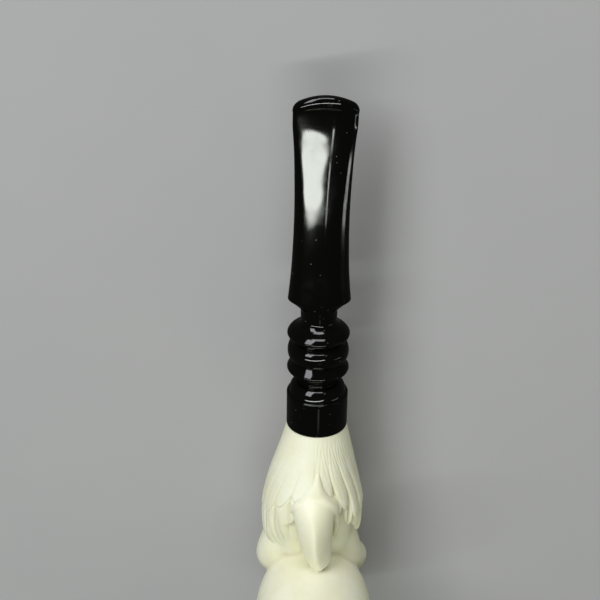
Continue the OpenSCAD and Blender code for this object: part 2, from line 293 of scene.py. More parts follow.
# The solid forms that the carver leaves standing: egg, three front toes, rear toe and four talons.
# Toes and talons are control rows of a point, half width and half height; m is 1 right, -1 left.
toe = 4.0
talon = 5.4
talon_lean = 2.2
egg_hub = (0.0, 0.0, -belly_drop)
rear_hub = on_leg(0, 0.6, -30)


def side_toe(m):
    return [
        on_leg(m * (toe * 1.6 + 0.3) - 0.9, 0.74, 0) + [toe * 1.05, toe * 1.1],
        on_leg(m * (toe * 2 + 0.3) - 0.9, 0.92, 0.4) + [toe * (1.14 - 0.06 * m), toe * 1.2],
        on_egg(m * 44 - 3.5, -0.58, toe * (0.25 - 0.15 * m))
        + [toe * (1.36 - 0.06 * m), toe * (1.36 - 0.04 * m)],
        on_egg(m * 60, -0.7, toe * 0.35) + [toe * 1.12, toe * 1.12],
        on_egg(m * 88, -0.83, toe * 0.55) + [toe, toe],
        on_egg(m * 110, -0.82, toe * 0.5) + [toe * 0.8, toe * 0.84],
        on_egg(m * 128, -0.74, toe * 0.5) + [toe * 0.92, toe * 0.94],
        on_egg(m * 134, -0.68, toe * 0.45) + [toe * 0.7, toe * 0.7]]


def side_talon(m):
    return [
        on_egg(m * 122, -0.77, toe * 0.45) + [toe * 0.5, toe * 0.5],
        on_egg(m * 133, -0.69, toe * 0.52) + [toe * 0.68, toe * 0.7],
        on_egg(m * 140, -0.56, toe * 0.48) + [toe * 0.58, toe * 0.66],
        on_egg(m * 145, -0.4, toe * 0.32) + [toe * 0.38, toe * 0.46],
        on_egg(m * 147, -0.24, toe * 0.06) + [toe * 0.08, toe * 0.1]]


middle_toe = [
    on_leg(0, 0.72, -toe) + [toe, toe],
    under_egg(-44, toe * 0.75) + [toe * 1.1, toe * 1.1],
    under_egg(-62, toe * 0.7) + [toe * 1.15, toe * 1.12],
    under_egg(-80, toe * 0.5) + [toe * 0.88, toe * 0.9],
    under_egg(-98, toe * 0.6) + [toe * 1.05, toe * 1.02],
    under_egg(-114, toe * 0.5) + [toe * 0.84, toe * 0.84],
    under_egg(-130, toe * 0.55) + [toe * 0.96, toe * 0.94],
    under_egg(-136, toe * 0.45) + [toe * 0.72, toe * 0.7]]
middle_talon = [
    under_egg(-124, toe * 0.45) + [toe * 0.5, toe * 0.5],
    under_egg(-135, toe * 0.55) + [toe * 0.7, toe * 0.7],
    under_egg(-147, toe * 0.52) + [toe * 0.6, toe * 0.68],
    under_egg(-158, toe * 0.34) + [toe * 0.4, toe * 0.48],
    under_egg(-168, toe * 0.06) + [toe * 0.08, toe * 0.1]]
rear_cuff = [
    on_leg(0.4, 0.2, 7.6) + [0.25, 1.0],
    on_leg(0.4, 0.26, 8.6) + [0.9, 2.1],
    on_leg(0.3, 0.33, 9.2) + [1.8, 3.0],
    on_leg(0.1, 0.39, 9.2) + [3.4, 3.9],
    on_leg(0, 0.45, 8.8) + [5.4, 4.7],
    on_leg(0, 0.52, 8.2) + [6.4, 5.0],
    on_leg(0, 0.62, 7.6) + [talon * 1.2, talon * 0.75]]
heel = [
    on_leg(0, 0.5, 5) + [4.0, 4.2],
    on_leg(talon_lean * 0.2, 0.7, 6.8) + [3.6, 4.6],
    on_leg(talon_lean * 0.5, 0.86, 7.4) + [2.8, 4.8],
    on_leg(talon_lean * 0.8, 1.04, 7.4) + [2.2, 4.4]]
palm = {m: [
    on_leg(m * 5.8, 0.56, 5.2 - m) + [4.2, 3.9],
    on_leg(m * 6.0, 0.76, 4.8 - m) + [4.4, 3.8],
    on_leg(m * 5.6, 0.95, 3.2 - m * 0.4) + [4.4, 3.5],
    on_leg(m * 4.6, 1.14, 1.2) + [3.6, 2.6]] for m in (1, -1)}
talon_fold = [
    on_leg(-5.9, 0.7, 6.8) + [0.4, 0.4],
    on_leg(-6.2, 0.6, 9.4) + [0.8, 0.8],
    on_leg(-5.3, 0.51, 11.7) + [1.0, 0.95],
    on_leg(-3.0, 0.45, 12.8) + [1.1, 0.9],
    on_leg(0, 0.43, 13.0) + [1.1, 0.85],
    on_leg(3.0, 0.45, 12.8) + [1.1, 0.9],
    on_leg(5.0, 0.51, 11.9) + [1.0, 0.95],
    on_leg(5.6, 0.59, 10.6) + [0.9, 0.95],
    on_leg(5.9, 0.68, 9.7) + [0.8, 0.9],
    on_leg(5.7, 0.77, 9.0) + [0.65, 0.75],
    on_leg(5.2, 0.85, 8.2) + [0.35, 0.4]]
rear_talon = [
    on_leg(-0.3, 0.45, 8.6) + [talon * 0.8, talon * 0.6],
    on_leg(-0.4, 0.5, 10.2) + [talon * 0.97, talon * 0.8],
    on_leg(-0.43, 0.56, 11.9) + [talon * 1.01, talon * 0.9],
    on_leg(talon_lean * -0.09, 0.63, 13) + [talon * 0.955, talon * 0.92],
    on_leg(0, 0.72, 13.5) + [talon * 0.87, talon * 0.93],
    on_leg(talon_lean * 0.2, 0.82, 13.6) + [talon * 0.765, talon * 0.88],
    on_leg(talon_lean * 0.51, 0.9, 13.6) + [talon * 0.67, talon * 0.66],
    on_leg(talon_lean * 0.7, 0.955, 13.4) + [talon * 0.56, talon * 0.44],
    on_leg(talon_lean * 0.88, 0.985, 13.1) + [talon * 0.3, talon * 0.22]]

low = [(egg_r * math.cos(a), -belly_drop + egg_low * math.sin(a))
       for a in np.radians(np.linspace(-90, 0, 48))]
high = [(egg_r * math.sqrt(1 - (z / egg_up) ** 2), z - belly_drop)
        for z in np.linspace(0.5, belly_drop - edge, 40)]
r = high[-1][0]
lip = [(r - 0.15, -edge * 0.55), (r - 0.5, -edge * 0.2), (r - 1, 0)]
solids = [lathe(low + high + lip, 160)]
for m in (1, -1):
    solids += [limb(side_toe(m), egg_hub, 40, 12), limb(side_talon(m), egg_hub, 32, 12, 0.15)]
solids += [limb(middle_toe, egg_hub, 40, 12), limb(middle_talon, egg_hub, 32, 12, 0.15)]
solids += [limb(rear_cuff, rear_hub, 48, 14, 0, 0.72), limb(heel, rear_hub, 32, 10)]
solids += [limb(palm[m], rear_hub, 32, 10) for m in (1, -1)]
solids += [limb(rear_talon, rear_hub, 64, 14, 0.05, 1.5), limb(talon_fold, on_leg(0, 0.75, 6), 20, 8)]
claw = stand("claw_and_egg", mesh_of("claw_and_egg", *solids))


def rub(piece, name, passes, where=""):
    """Smooths the piece in so many passes, all over or where a vertex group says."""
    soft = piece.modifiers.new(name, "SMOOTH")
    soft.factor = 0.5
    soft.iterations = passes
    soft.vertex_group = where
    settled(piece)


def read_points(mesh, key):
    values = np.empty(len(mesh.vertices) * 3)
    mesh.vertices.foreach_get(key, values)
    return values.reshape(-1, 3)


# One block: the forms run into each other, filed all over, worn most in the webs between the toes.
one_block = claw.modifiers.new("one_block", "REMESH")
one_block.mode = "VOXEL"
one_block.voxel_size = 0.36 * mm
rub(claw, "filed", 12)
x, y, z = read_points(claw.data, "co").T / mm
off_egg = egg_r * (np.sqrt((x / egg_r) ** 2 + (y / egg_r) ** 2 + ((z + belly_drop) / egg_low) ** 2) - 1)
beside_talon = ease((np.abs(x) - 3.4) / 2) * ease((13.5 - np.abs(x)) / 3)
under_talon = ease((-27 - z) / 1.5) * ease((y - 7) / 4) * ease((30 - y) / 4)
web = beside_talon * under_talon * ease((off_egg - 0.5) / 1.2)
group = claw.vertex_groups.new(name="web")
for k in np.nonzero(web > 0.02)[0]:
    group.add([int(k)], float(web[k]), "REPLACE")
rub(claw, "worn", 90, "web")

# Drilled chamber with a rounded floor, and the draught hole that meets it from the shank.
drill = [(0, 1), (chamber_r + 0.5, 1), (chamber_r + 0.5, 0.2), (chamber_r + 0.12, -0.25),
         (chamber_r, -0.6)]
drill += [(chamber_r * math.cos(a), -chamber_depth + chamber_r * (1 - math.sin(a)))
          for a in np.radians(np.linspace(0, 90, 24))]
round_q = np.arange(48) / 48 * 2 * math.pi
hole = skin([[[draught_r * math.sin(a), y, shank_z + draught_r * math.cos(a)] for a in round_q]
             for y in np.linspace(2, 60, 3)])
for name, shell in (("chamber_drill", lathe(drill, 160)), ("draught_drill", hole)):
    cutter = stand(name, mesh_of(name, shell))
    cut = claw.modifiers.new(name, "BOOLEAN")
    cut.operation = "DIFFERENCE"
    cut.solver = "MANIFOLD"
    cut.object = cutter
    settled(claw)
    bpy.data.objects.remove(cutter)


def mark_hollows(mesh, depth):
    """Stores how deep each point lies in a cut, from the bend of the surface around it."""
    n = len(mesh.vertices)
    at = read_points(mesh, "co")
    out = read_points(mesh, "normal")
    e = np.empty(len(mesh.edges) * 2, int)
    mesh.edges.foreach_get("vertices", e)
    e = e.reshape(-1, 2)
    count = np.maximum(np.bincount(e.ravel(), minlength=n), 1)

    def around(value):
        total = np.bincount(e[:, 0], value[e[:, 1]], n) + np.bincount(e[:, 1], value[e[:, 0]], n)
        return total / count

    mean = np.stack([around(at[:, k]) for k in range(3)], 1)
    bend = ((mean - at) * out).sum(1)
    for _ in range(3):
        bend = 0.5 * bend + 0.5 * around(bend)
    layer = mesh.attributes.new("hollow", "FLOAT", "POINT")
    layer.data.foreach_set("value", np.clip(bend / depth, 0, 1).astype(np.float32))


claw.data.shade_smooth()
claw.data.set_sharp_from_angle(angle=math.radians(50))
hollow_depth = 0.02 * mm
mark_hollows(claw.data, hollow_depth)
claw.data.materials.clear()
claw.data.materials.append(meerschaum)
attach(claw, "bowl")
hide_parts("bowl")

# Scutes: the row of overlapping plates along the upper side of each front toe.
# Real piece: filed and scribed into the toes of the same block, each a shallow step over the next.
def scute_tree():
    """Bent plates on points that hold their along and upper directions and half sizes."""
    tree = bpy.data.node_groups.new("scutes", "GeometryNodeTree")
    face = tree.interface
    face.new_socket("Points", in_out="INPUT", socket_type="NodeSocketGeometry")
    for name, kind in (("Half arc", "Float"), ("Thickness", "Float"), ("Tilt", "Float"),
                       ("Unevenness", "Float"), ("Seed", "Int"), ("Finish", "Material")):
        face.new_socket(name, in_out="INPUT", socket_type="NodeSocket" + kind)
    face.new_socket("Plates", in_out="OUTPUT", socket_type="NodeSocketGeometry")
    given = tree.nodes.new("NodeGroupInput").outputs
    points, half_arc, thick, tilt, uneven, seed, stuff = [Wire(tree, given[k]) for k in range(7)]
    plate = points.node("GeometryNodeMeshCube", {}, {"Vertices X": 15, "Vertices Y": 5, "Vertices Z": 2})
    x, y, z = points.node("GeometryNodeInputPosition").split()
    side = x * 2.0
    turn = x * 2.0 * half_arc
    sunk_ends = side * side * side * side * thick * 2.2
    round_edge = (y * 2.0) ** 8.0 * tilt * 0.12
    rise = 1.0 + z * thick + y * tilt - sunk_ends - round_edge
    bent = points.node("ShaderNodeCombineXYZ", {}, {0: rise * turn.math("SINE"),
                                                    1: y * 1.16 - side * side * 0.2,
                                                    2: rise * turn.math("COSINE")})
    plate = points.node("GeometryNodeSetPosition", {}, {"Geometry": plate, "Position": bent})

    def named(name, kind):
        return points.node("GeometryNodeInputNamedAttribute", {"data_type": kind}, {0: name})

    aim = points.node("FunctionNodeAxesToRotation", {"primary_axis": "Z", "secondary_axis": "Y"},
                      {0: named("upper", "FLOAT_VECTOR"), 1: named("along", "FLOAT_VECTOR")})
    chance = points.node("FunctionNodeRandomValue", {"data_type": "FLOAT"},
                         {2: -1.0, 3: 1.0, "Seed": seed}, 1)
    twist = points.node("ShaderNodeCombineXYZ", {}, {2: chance * uneven})
    nudge = points.node("FunctionNodeEulerToRotation", {}, {0: twist})
    aim = points.node("FunctionNodeRotateRotation", {"rotation_space": "LOCAL"}, {0: aim, 1: nudge})
    size = points.node("ShaderNodeCombineXYZ", {}, {0: named("half_width", "FLOAT"),
                                                    1: named("length", "FLOAT") * (1.0 + chance * uneven),
                                                    2: named("half_height", "FLOAT")})
    made = points.node("GeometryNodeInstanceOnPoints", {}, {"Points": points, "Instance": plate,
                                                            "Rotation": aim, "Scale": size})
    made = points.node("GeometryNodeRealizeInstances", {}, {0: made})
    made = points.node("GeometryNodeSetMaterial", {}, {"Geometry": made, "Material": stuff})
    tree.links.new(made.socket, tree.nodes.new("NodeGroupOutput").inputs[0])
    return tree


def fill_in(modifier, values):
    for item in modifier.node_group.interface.items_tree:
        if item.in_out == "INPUT" and item.name in values:
            modifier[item.identifier] = values[item.name]


# Plates sit a pace apart from the control row past the knuckle to the one before the talon.
seats = []
pace = 1.75
per_row = 12
for rows, first, last in ((side_toe(1), 3.4, 6.6), (side_toe(-1), 3.4, 6.6), (middle_toe, 1.2, 6.6)):
    c, size, along, across, upper = limb_frames(rows, egg_hub, per_row)
    gone = np.concatenate([[0], np.cumsum(np.linalg.norm(np.diff(c, axis=0), axis=1))])
    for d in np.arange(gone[round(first * per_row)], gone[round(last * per_row)], pace):
        seats.append([np.interp(d, gone, column) for column in np.hstack([c, size, along, upper]).T])
seats = np.array(seats, np.float32)
mesh = bpy.data.meshes.new("toe_scutes")
mesh.from_pydata((seats[:, :3] * mm).tolist(), [], [])
for key, values in (("half_width", seats[:, 3] * mm), ("half_height", seats[:, 4] * mm),
                    ("length", np.full(len(seats), pace * mm, np.float32))):
    mesh.attributes.new(key, "FLOAT", "POINT").data.foreach_set("value", values)
for key, values in (("along", seats[:, 5:8]), ("upper", seats[:, 8:11])):
    mesh.attributes.new(key, "FLOAT_VECTOR", "POINT").data.foreach_set("vector", values.ravel())
scutes = stand("toe_scutes", mesh)
laid = scutes.modifiers.new("scutes", "NODES")
laid.node_group = scute_tree()
fill_in(laid, {"Half arc": math.radians(66), "Thickness": 0.07, "Tilt": 0.075, "Unevenness": 0.06,
               "Seed": 4, "Finish": meerschaum})
settled(scutes)
scutes.data.shade_smooth()
scutes.data.set_sharp_from_angle(angle=math.radians(45))
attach(scutes, "bowl")
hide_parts("bowl")

# Feathered leg: the shank of the pipe, two rows of long feathers that part over the rear toe.
# Real piece: the back half of the same block, each feather cut with a knife and its barbs scribed,
# faced square at the joint and bored for the sleeve.
joint_r = 8.0
skirt_r = 14.0
ankle_r = 9.0
saddle = 4.0
swell = 0.9
spread = 22.0
feathers = 22
groove = 0.6
step = 0.6
barb_gap = 0.8
tip_len = 3.5
upper_curl = 0.35
lower_curl = 1.1
under_tip = 0.2
sleeve_len = 14.0
mortise_r = 5.02
rng = random.Random(11)
# Each feather's own small difference in length and in height, row by row.
trim = np.array([[rng.uniform(-1, 1) for _ in range(feathers + 1)] for _ in range(4)])


def envelope(t):
    """Radius of the leg before the feathers are cut, t of its length from the joint face."""
    flare = np.minimum(1, (np.maximum(t, 0) / 0.8) ** 1.15)
    return joint_r + (skirt_r - joint_r) * np.sin(math.pi / 2 * flare)


def quill(a, shift):
    """Feather number and place across the feather, -1 to 1, of a direction round the leg."""
    place = a / 360 * feathers + shift + feathers
    number = np.floor(place)
    return (number % feathers).astype(int), (place - number) * 2 - 1


def crisp(a, least):
    """1 where the feathers are cut deep, falling to least on the smooth left of the leg."""
    return 1 - (1 - least) * ease((8 - a) / 30) * ease((a + 130) / 40)


def row_end(a, near, far, shift, which):
    """Where a row of feathers ends: near over the rear toe, far at the sides, each tip rounded."""
    number, off = quill(a, shift)
    return (near + (far - near) * ease(np.abs(a) / 60)
            + (0.055 * trim[which][number] - 0.15 * np.abs(off) ** 2.1) * crisp(a, 0.45))


def feather(a, t, shift, end, which, curl):
    """Height of a feather over the leg: rounded, with a shaft, barbs and a tip that curls in."""
    number, off = quill(a, shift)
    q = np.abs(off)
    width = 2 * math.pi * envelope(t) / feathers / 2
    right = crisp(a, 0.2)
    full = 0.7 * ease((t - 0.3) / 0.4) * ease((a - 20) / 50) * ease((150 - a) / 40)
    grown = ease((t - 0.13) / 0.3) * right
    lines = 0.5 + 0.5 * np.cos(2 * math.pi * (q * width - 4.0 * t) / barb_gap)
    barbs = (1 - lines) ** 2 * ease(t / 0.08) * (1 - 0.6 * ease((t - 0.2) / 0.2)) * right
    shaft = np.exp(-(q / 0.1) ** 2)
    tip = np.clip((end - t) * leg_len / tip_len, 0, 1)
    lap = -off * np.sign(a) * ease(np.abs(a) / 8) * ease((180 - np.abs(a)) / 8)
    vane = -groove * (0.35 * q ** 2 + 0.65 * q ** 9) + 0.06 * shaft + 0.16 * lap + 0.1 * trim[which][number]
    return grown * vane - 0.07 * barbs - curl * (1 - tip) ** 2 * right + full


def spot(a, t, r):
    """Point of the leg's skin; the feathers spread away from the top and the leg swells to the left."""
    part = spread * ease((t - 0.06) / 0.5) * np.tanh(a / 18) * np.cos(np.radians(a / 2))
    b = np.radians(a + part)
    x = r * np.sin(b) - swell * ease(t / 0.7)
    return np.stack([x, shank_reach - t * leg_len, shank_z + r * np.cos(b)], -1)


columns = feathers * 24
a = (np.arange(columns) + 0.5) / columns * 360
a = np.where(a > 180, a - 360, a)
sine, cosine = np.sin(np.radians(a)), np.cos(np.radians(a))
upper_end = row_end(a, 0.5, 0.68, 0, 0)
lower_end = row_end(a, 0.62, 0.86 + 0.06 * ease((a - 40) / 40), 0.5, 1)


def upper_row(t):
    return envelope(t) + feather(a, t, 0, upper_end, 2, upper_curl)


def lower_row(t):
    return envelope(t) - step * (0.5 + 0.3 * sine) + feather(a, t, 0.5, lower_end, 3, lower_curl)


# Upper row, lower row tucked under its tips, then the bare ankle that runs in among the toes.
rings = []
for k in np.linspace(0, 1, 66) ** 0.9:
    t = upper_end * k
    rings.append(spot(a, t, upper_row(t)))
top = upper_row(upper_end)
for k in np.linspace(0, 1, 34):
    t = upper_end + 0.006 + (lower_end - upper_end - 0.006) * k
    rings.append(spot(a, t, np.minimum(lower_row(t), top - under_tip + under_tip * ease(k * 6))))
hem = np.minimum(lower_row(lower_end), top) - under_tip * crisp(a, 0.2)
for k in np.linspace(0, 1, 16):
    t = lower_end + 0.012 + (1.16 - lower_end - 0.012) * k
    bare = ankle_r * (1 + 0.36 * sine ** 2) - np.maximum(0, t - 0.5)
    bare = bare - saddle * ease((t - 0.5) / 0.45) * np.maximum(0, cosine) ** 2
    bare = np.minimum(bare, hem)
    rings.append(spot(a, t, bare + (hem - bare) * (1 - crisp(a, 0)) * (1 - ease(k))))


def round_ring(r, y):
    return np.stack([r * sine, np.full(columns, y), shank_z + r * cosine], -1)


# Inside: draught hole, floor and wall of the mortise, then the flat joint face.
floor_y = shank_reach - sleeve_len
root_y = 10.2
for r, y in ((5.0, root_y), (draught_r, root_y), (draught_r, floor_y), (mortise_r, floor_y),
             (mortise_r, shank_reach), (joint_r - 0.15, shank_reach)):
    rings.append(round_ring(r, y))
leg = stand("feathered_leg", mesh_of("feathered_leg", skin(rings, ring_shaped=True)))
leg.data.shade_smooth()
leg.data.set_sharp_from_angle(angle=math.radians(55))
mark_hollows(leg.data, hollow_depth)
leg.data.materials.append(meerschaum)
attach(leg, "bowl")
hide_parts("bowl")

# Sleeve: the plastic lining of the mortise that the push tenon slides into.
# Real piece: white nylon, turned, threaded outside and screwed into the shank flush with the joint face.
def turned_tree():
    """Skin over a profile whose points hold half width, place along the axis and half thickness."""
    tree = bpy.data.node_groups.new("turned_skin", "GeometryNodeTree")
    face = tree.interface
    face.new_socket("Profile", in_out="INPUT", socket_type="NodeSocketGeometry")
    for name, kind in (("Sides", "Int"), ("Thread pitch", "Float"), ("Bow width", "Float"),
                       ("Seat", "Vector"), ("Finish", "Material")):
        face.new_socket(name, in_out="INPUT", socket_type="NodeSocket" + kind)
    face.new_socket("Skin", in_out="OUTPUT", socket_type="NodeSocketGeometry")
    given = tree.nodes.new("NodeGroupInput").outputs
    profile, sides, pitch, bow_width, seat, stuff = [Wire(tree, given[k]) for k in range(6)]
    rows = profile.node("GeometryNodeAttributeDomainSize", {}, {0: profile})
    grid = profile.node("GeometryNodeMeshGrid", {}, {"Vertices X": rows, "Vertices Y": sides + 1.0})
    index = profile.node("GeometryNodeInputIndex")
    row = (index / (sides + 1.0) + 0.0001).math("FLOOR")
    column = index - row * (sides + 1.0)

    def at_row(kind, value):
        return profile.node("GeometryNodeSampleIndex", {"data_type": kind},
                            {"Geometry": profile, "Value": value, "Index": row})

    def named(name):
        value = profile.node("GeometryNodeInputNamedAttribute", {"data_type": "FLOAT"}, {0: name})
        return at_row("FLOAT", value)

    point = at_row("FLOAT_VECTOR", profile.node("GeometryNodeInputPosition"))
    half_width, along, half_thick = point.split()
    turn = column / sides
    ridge = ((along / pitch + turn).math("FRACT") - 0.5).math("ABSOLUTE") * 2.0 * named("thread")
    bluntness = 2.0 / named("square")

    def rounded(wave, half):
        return wave.math("SIGN") * wave.math("ABSOLUTE") ** bluntness * (half - ridge)

    x = rounded((turn * math.tau).math("COSINE"), half_width)
    z = rounded((turn * math.tau).math("SINE"), half_thick)
    out = x / bow_width
    bowed = along - named("bow") * out * out + named("tilt") * z
    place = profile.node("ShaderNodeCombineXYZ", {}, {0: x + named("lean"), 1: bowed, 2: z})
    place = profile.node("ShaderNodeVectorMath", {"operation": "ADD"}, {0: place, 1: seat})
    made = profile.node("GeometryNodeSetPosition", {}, {"Geometry": grid, "Position": place})
    made = profile.node("GeometryNodeMergeByDistance", {}, {"Geometry": made, "Distance": 2e-7})
    made = profile.node("GeometryNodeRealizeInstances", {}, {0: made})
    made = profile.node("GeometryNodeSetMaterial", {}, {"Geometry": made, "Material": stuff})
    tree.links.new(made.socket, tree.nodes.new("NodeGroupOutput").inputs[0])
    return tree


turned = turned_tree()
thread_pitch = 1.0


def turn_piece(name, rows, sides, material, bow_width=1.0):
    """Piece from rows of [place, half width, half thickness, squareness, bow, thread depth, lean, tilt]."""
    rows = np.array([list(r) + [2, 0, 0, 0, 0][len(r) - 3:] for r in rows], float)
    mesh = bpy.data.meshes.new(name)
    mesh.from_pydata((rows[:, [1, 0, 2]] * mm).tolist(), [(k, k + 1) for k in range(len(rows) - 1)], [])
    for key, values in (("square", rows[:, 3]), ("bow", rows[:, 4] * mm), ("thread", rows[:, 5] * mm),
                        ("lean", rows[:, 6] * mm), ("tilt", rows[:, 7])):
        mesh.attributes.new(key, "FLOAT", "POINT").data.foreach_set("value", values.astype(np.float32))
    piece = stand(name, mesh)
    skin_over = piece.modifiers.new("skin", "NODES")
    skin_over.node_group = turned
    fill_in(skin_over, {"Sides": sides, "Thread pitch": thread_pitch * mm, "Bow width": bow_width * mm,
                        "Seat": (0, shank_reach * mm, shank_z * mm), "Finish": material})
    settled(piece)
    shell = bmesh.new()
    shell.from_mesh(piece.data)
    bmesh.ops.recalc_face_normals(shell, faces=shell.faces)
    shell.to_mesh(piece.data)
    shell.free()
    piece.data.shade_smooth()
    return piece


def round_rows(points):
    return [[y, r, r] for y, r in points]


nylon, shader, place = finish("white_nylon")
tooling = place.noise(900.0, 3.0)
cast = place.noise(240.0, 2.0)
rings_cut = place.node("ShaderNodeTexWave", {"bands_direction": "Y"},
                       {"Vector": place, "Scale": 1600.0, "Distortion": 1.5, "Detail": 1.0}, 1)
wire_up(shader, Base_Color=cast.blend((0.8, 0.8, 0.76, 1), (0.88, 0.88, 0.85, 1)),
        Roughness=0.38 + 0.2 * tooling,
        Normal=(rings_cut + tooling).bump(0.15, 0.00003))
shader.inputs["Subsurface Weight"].default_value = 0.15
shader.inputs["Subsurface Scale"].default_value = 0.001

bore_r = 3.5
sleeve_r = 5.0
thread = [[y, sleeve_r, sleeve_r, 2, 0, 0.4] for y in np.linspace(-sleeve_len + 0.5, -1.0, 150)]
inner_end = round_rows([(-sleeve_len, bore_r + 0.2), (-sleeve_len, sleeve_r - 0.45)])
mouth = round_rows([
    (-0.8, sleeve_r), (-0.06, sleeve_r), (0, sleeve_r - 0.06), (0, bore_r + 0.25), (-0.08, bore_r + 0.08),
    (-0.3, bore_r), (-sleeve_len + 0.2, bore_r), (-sleeve_len, bore_r + 0.2)])
sleeve = turn_piece("mortise_sleeve_white", inner_end + thread + mouth, 64, nylon)
sleeve.data.set_sharp_from_angle(angle=math.radians(35))
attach(sleeve, "bowl")
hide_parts("mortise_sleeve")

# Push tenon: plug that slides in the sleeve, on a threaded stud that holds it in the stem.
# Real piece: white nylon, turned in one with the airway drilled through, screwed into the stem by hand.
plug_len = 12.5
plug_r = 3.47
stud_r = 3.0
stud_len = 9.0
airway_r = 1.5
plug = [(-plug_len + 0.12, airway_r), (-plug_len, airway_r + 0.15), (-plug_len, plug_r - 0.55),
        (-plug_len + 0.18, plug_r - 0.32), (-plug_len + 0.5, plug_r - 0.12), (-plug_len + 0.95, plug_r)]
for y in (-9.2, -6.2, -3.2):
    plug += [(y - 0.4, plug_r), (y - 0.22, plug_r - 0.12), (y + 0.22, plug_r - 0.12), (y + 0.4, plug_r)]
plug += [(-0.12, plug_r), (0, plug_r - 0.12), (0, stud_r - 0.45), (0.2, stud_r - 0.42)]
stud = [[y, stud_r, stud_r, 2, 0, 0.42] for y in np.linspace(0.35, stud_len - 0.7, 110)]
stud_end = [(stud_len - 0.5, stud_r - 0.42), (stud_len, stud_r - 0.8), (stud_len, airway_r + 0.15),
            (stud_len - 0.15, airway_r), (-plug_len + 0.12, airway_r)]
tenon = turn_piece("push_tenon_white", round_rows(plug) + stud + round_rows(stud_end), 64, nylon)
tenon.data.set_sharp_from_angle(angle=math.radians(35))
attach(tenon, "tenon")
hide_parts("push_tenon")

# Stem: ferrule, groove, two sharp rings round a full bead, neck, and the flat bit with its button.
# Real piece: black acrylic rod, turned on a lathe, the bit filed flat and bent from the round, then buffed.
acrylic, shader, place = finish("polished_black_acrylic")
smear = place.noise(90.0, 4.0, 0.6)
brushed = place.node("ShaderNodeMapping", {}, {"Vector": place, "Rotation": (0.1, 0.25, 0.5),
                                               "Scale": (9000.0, 500.0, 4000.0)})
scratch = brushed.noise(1.0, 2.0)
dust, grain_colour = [place.node("ShaderNodeTexVoronoi", {}, {"Vector": place, "Scale": 900.0}, k)
                      for k in range(2)]
lot = place.node("ShaderNodeSeparateColor", {}, {0: grain_colour})
speck = (1 - dust.between(0.07, 0.14)) * lot.between(0.88, 0.9)
wire_up(shader, Base_Color=speck.blend((0.0014, 0.0014, 0.0012, 1), (0.11, 0.11, 0.1, 1)),
        Roughness=0.05 + 0.07 * smear.between(0.45, 0.75) + 0.5 * speck,
        Normal=scratch.bump(0.05, 0.00001))
shader.inputs["IOR"].default_value = 1.49

stem_len = 89.0
ferrule_len = 10.0
groove_r = 5.3
ring_pitch = 4.95
ring_y = [17.2, 22.15, 27.1]
ring_r = joint_r - 1.2
neck_r = 4.65
shoulder = 36.7
socket_r = 3.03
socket_len = 9.5
shoulder_half = 5.0
waist = 6.75
waist_cut = 1.19
button = 7.8
bite = 2.1
crest = 2.9
bow = 2.0
bit_lean = 0.6
end_tilt = 0.22


def sharp_ring(y):
    crest_shape = ((-0.6, -0.2), (-0.4, -0.09), (-0.2, -0.02), (0, 0),
                   (0.2, -0.02), (0.4, -0.09), (0.8, -0.3))
    return [(y + dy, joint_r + dr) for dy, dr in crest_shape]


face_y = 0.1
turning = [(face_y, socket_r + 0.1), (face_y, joint_r - 0.12), (face_y + 0.05, joint_r - 0.04),
           (face_y + 0.15, joint_r)]
turning += [(y, joint_r) for y in np.linspace(0.6, ferrule_len - 0.4, 8)]
turning += [(ferrule_len - 0.24, joint_r - 0.04), (ferrule_len - 0.1, joint_r - 0.13),
            (ferrule_len - 0.02, joint_r - 0.28), (ferrule_len, joint_r - 0.45)]
turning += [(ferrule_len - 0.5 + 3.7 * math.sin(k), groove_r + (joint_r - 0.55 - groove_r) * math.cos(k))
            for k in np.radians(np.linspace(9, 90, 18))]
turning += through([(ferrule_len + 3.5, groove_r), (ferrule_len + 3.9, groove_r),
                    (ring_y[0] - 1.7, groove_r + 0.5), (ring_y[0] - 1, joint_r - 1),
                    (ring_y[0] - 0.6, joint_r - 0.2)], 6)[:-1].tolist()
turning += sharp_ring(ring_y[0])
turning += through([(ring_y[0] + 0.8, joint_r - 0.3), (ring_y[0] + 0.33 * ring_pitch, ring_r + 0.35),
                    (ring_y[0] + 0.45 * ring_pitch, ring_r)], 5)[1:].tolist()
turning += [(ring_y[1] + 0.47 * ring_pitch * math.sin(k), ring_r + 1.08 * math.cos(k))
            for k in np.radians(np.linspace(-82, 82, 25))]
turning += through([(ring_y[2] - 0.45 * ring_pitch, ring_r), (ring_y[2] - 0.28 * ring_pitch, ring_r + 0.4),
                    (ring_y[2] - 0.6, joint_r - 0.2)], 5)[:-1].tolist()
turning += sharp_ring(ring_y[2])
turning += through([(ring_y[2] + 0.8, joint_r - 0.3), (ring_y[2] + 1.5, joint_r - 0.95),
                    (ring_y[2] + 2.2, neck_r + 1.2), (ring_y[2] + 2.9, neck_r + 0.4),
                    (ring_y[2] + 3.9, neck_r), (shoulder - 4.2, neck_r)], 5)[1:].tolist()
bit_len = stem_len - shoulder


def thick(f):
    """Half thickness of the bit, f of the way from its shoulder to the bite."""
    return shoulder_half + (bite - shoulder_half) * f


def widen(f):
    """Half width of the bit, f of the way from its waist to the button."""
    return waist + (button - waist) * f


def narrow(f):
    """Half width of the bit, f of the way from its waist to the shoulder."""
    return waist + waist_cut * f


